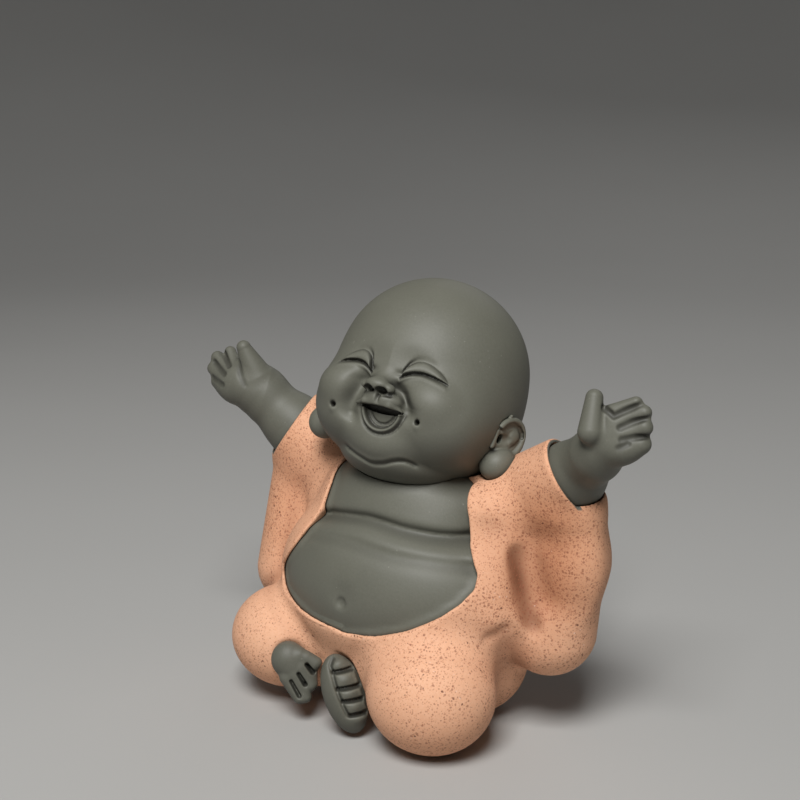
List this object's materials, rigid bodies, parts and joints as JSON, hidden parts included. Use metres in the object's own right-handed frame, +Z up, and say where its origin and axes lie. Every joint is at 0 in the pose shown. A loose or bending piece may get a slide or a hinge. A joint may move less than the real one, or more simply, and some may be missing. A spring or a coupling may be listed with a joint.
{
  "type": "laughing monk figurine",
  "caption": "Small seated laughing monk of dark fired clay in an orange speckled robe, both arms thrown up, bare belly and bare feet; stands on its flat base.",
  "frame": {"origin": "centre of the bounding box on the ground under the flat base", "axes": "+Z up, the figure looks along -Y, +X along the arms towards the figure's own left hand"},
  "size_m": [0.102, 0.0502, 0.0822],
  "materials": {
    "dark_clay": "unglazed matte fired clay with a fine grain",
    "orange_clay": "unglazed matte coloured clay coat with dark specks"
  },
  "bodies": {
    "root": {"robe": "orange_clay", "torso": "dark_clay", "head": "dark_clay", "ear_left": "dark_clay", "ear_right": "dark_clay", "arm_left": "dark_clay", "arm_right": "dark_clay", "foot_left": "dark_clay", "foot_right": "dark_clay"}
  },
  "joints": []
}
